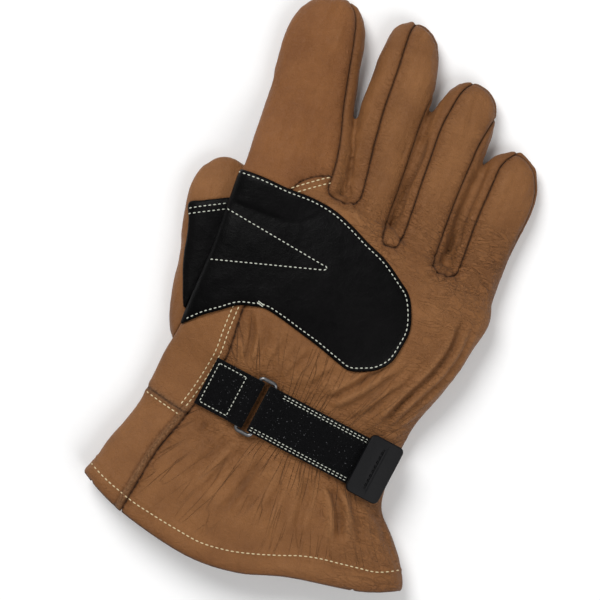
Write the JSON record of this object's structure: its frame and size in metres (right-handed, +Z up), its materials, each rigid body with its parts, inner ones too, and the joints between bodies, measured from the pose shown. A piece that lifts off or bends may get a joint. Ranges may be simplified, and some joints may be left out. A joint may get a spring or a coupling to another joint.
{
  "type": "leather rope work glove",
  "caption": "Hollow right-hand leather work glove with black rope patches, fourchettes, a gathered wrist, a hook-and-loop wrist strap with wire ring and pull tab, and a short flared cuff.",
  "frame": {"origin": "on the table under the middle of the glove, which lies palm down", "axes": "+Y to the fingertips, +X to the little finger, +Z up out of the back of the hand"},
  "size_m": [0.1626, 0.2782, 0.0317],
  "materials": {
    "tan_leather": "matt tan grain leather",
    "black_leather": "smooth black leather with a soft sheen",
    "strap_tape": "black hook-and-loop tape",
    "ring_wire": "dull grey wire",
    "tab_plastic": "black satin plastic"
  },
  "bodies": {
    "root": {"back_panel": "tan_leather", "palm_panel": "tan_leather", "middle_front": "tan_leather", "ring_front": "tan_leather", "fourchette_index_middle": "tan_leather", "fourchette_middle_ring": "tan_leather", "fourchette_ring_little": "tan_leather", "thumb": "tan_leather", "cuff_panel": "tan_leather", "back_patch": "black_leather", "palm_patch": "black_leather", "thumb_patch": "black_leather", "strap_tab": "strap_tape", "closure_strap": "strap_tape", "strap_ring": "ring_wire", "pull_tab": "tab_plastic"}
  },
  "joints": []
}
